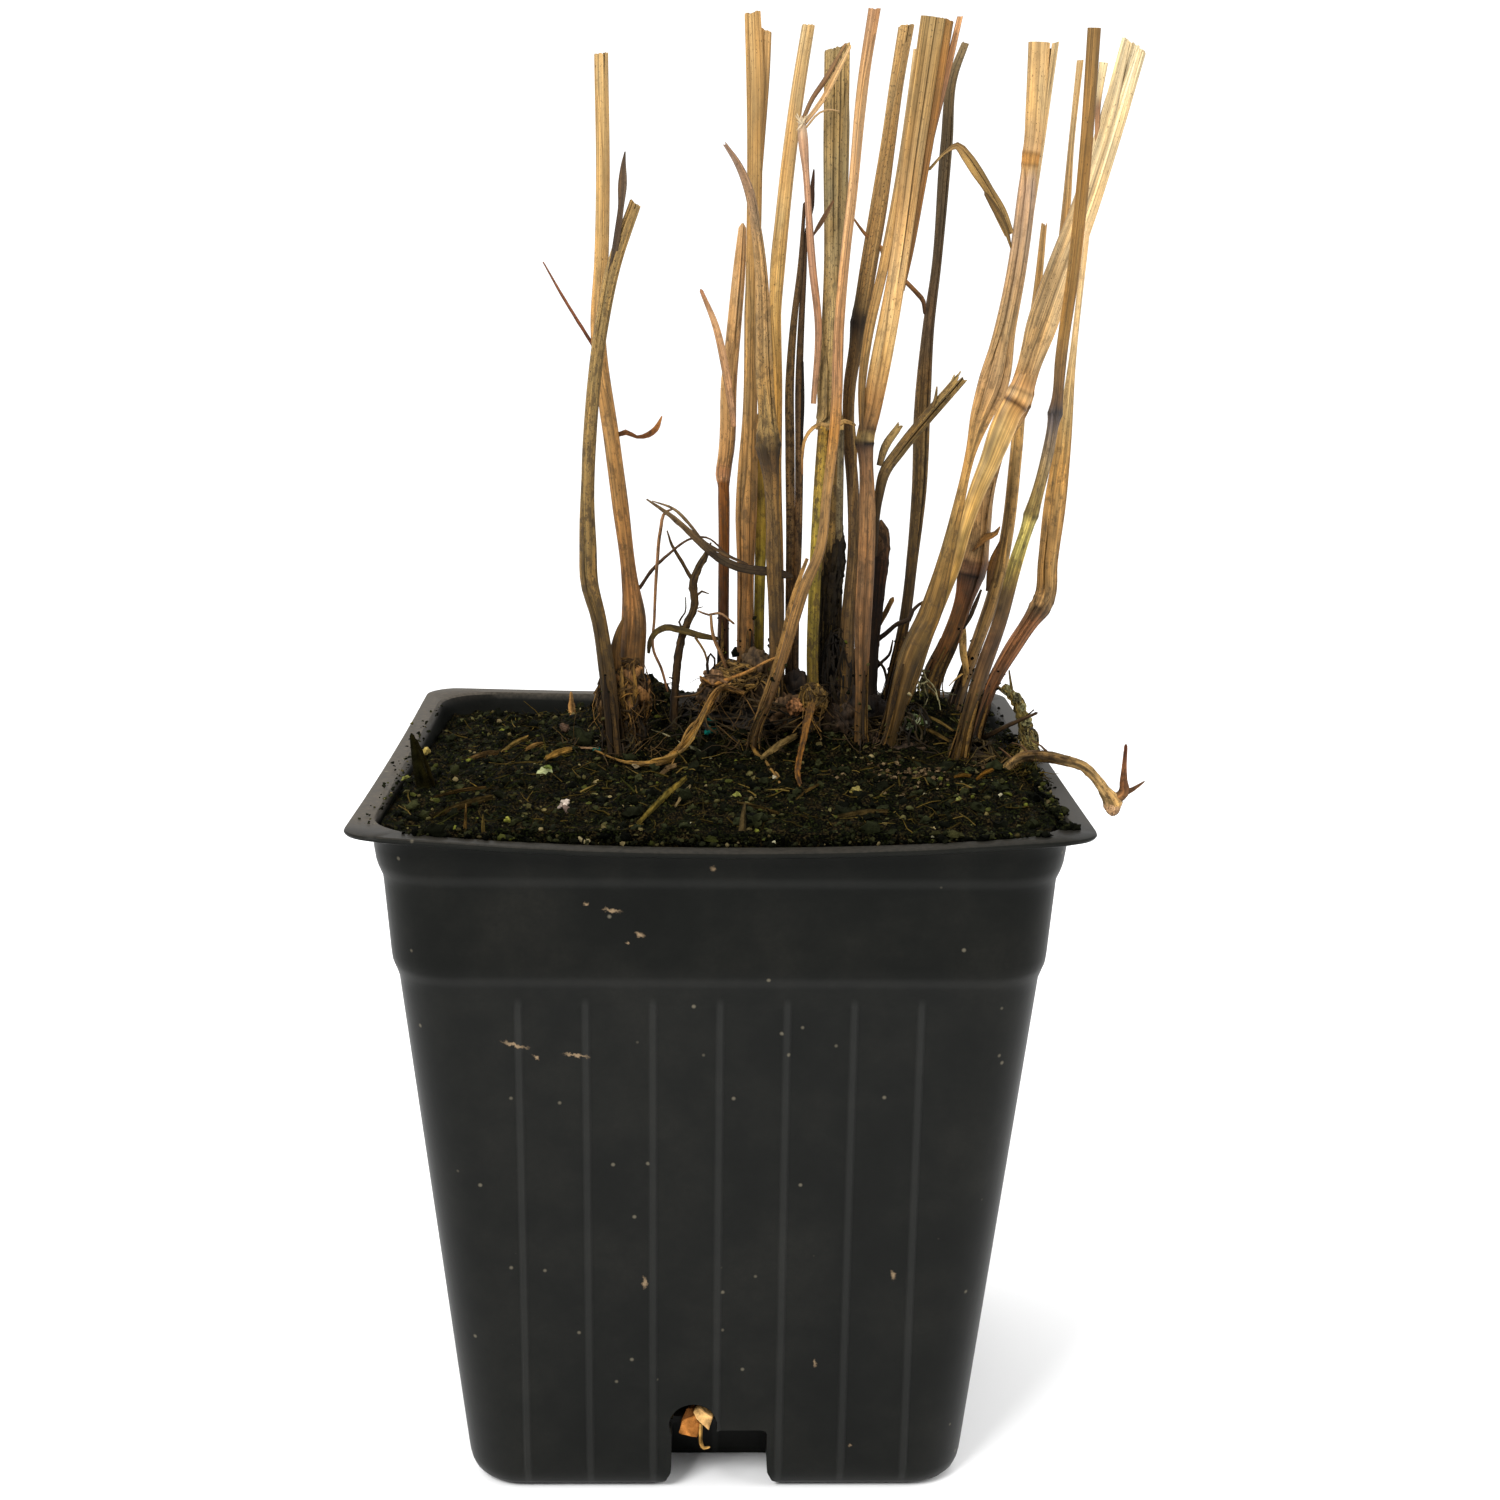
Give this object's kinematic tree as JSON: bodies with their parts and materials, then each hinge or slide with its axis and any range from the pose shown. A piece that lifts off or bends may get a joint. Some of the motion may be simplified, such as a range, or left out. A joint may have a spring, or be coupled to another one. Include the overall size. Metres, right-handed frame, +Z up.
{
  "type": "potted grass",
  "caption": "Dormant clump of switchgrass, its dead culms cut off level, in a square thin-walled black nursery pot of peat.",
  "frame": {"origin": "centre of the pot's foot, on the surface that it stands on", "axes": "+Z up along the pot's middle and the culms, -Y towards the pot's front, +X to the right as seen from the front"},
  "size_m": [0.1291, 0.114, 0.2407],
  "materials": {
    "black_plastic": "satin charcoal-black thermoformed plastic, dusty and scuffed",
    "peat": "moist near-black peat with fibres and crumbs",
    "crown_bark": "rough brown rhizome bark with clinging soil",
    "straw": "dry golden straw with fine lengthwise ribs",
    "pale_straw": "bleached dry straw with fine lengthwise ribs",
    "grey_straw": "weathered grey-brown straw with dark specks",
    "dark_straw": "rotted dark brown straw",
    "pink_straw": "pinkish tan dry leaf",
    "red_brown": "smooth dark red-brown culm",
    "yellow_green": "yellow-green living sheath",
    "dark_root": "rough near-black root bark",
    "orange_root": "orange-brown root",
    "pale_root": "pale scaly runner",
    "moss_bark": "bark with grey-green moss",
    "wood_chip": "fresh tan wood chip"
  },
  "bodies": {
    "root": {"pot": "black_plastic", "soil": "peat", "crown": "crown_bark", "culm_left_tall": "straw", "culm_left_spotted": "grey_straw", "culm_mid_flat": "straw", "culm_mid_red": "red_brown", "sheath_strip_yellow": "yellow_green", "culm_mid_broken": "grey_straw", "culm_golden": "straw", "culm_dark_rolled": "dark_straw", "culm_grey_flat": "grey_straw", "culm_thin_pink": "pink_straw", "culm_tan_noded": "grey_straw", "culm_wide_ribbed": "straw", "culm_dark_bent": "dark_straw", "culm_split_bulged": "straw", "culm_pale_straw": "pale_straw", "culm_straight": "straw", "culm_round_brown": "grey_straw", "culm_pale_kinked": "pale_straw", "culm_short_thin": "straw", "stub_decayed": "dark_root", "stub_dark_round": "dark_root", "stub_broken_side": "grey_straw", "leaf_pink_left": "pink_straw", "leaf_forked": "pink_straw", "leaf_pink_right": "pink_straw", "leaf_folded_dry": "straw", "root_dark_forked": "dark_root", "root_arching": "straw", "root_orange": "orange_root", "twig_mossy": "moss_bark", "twig_dark": "dark_root", "runner": "pale_root", "drain_chip": "wood_chip"}
  },
  "joints": []
}
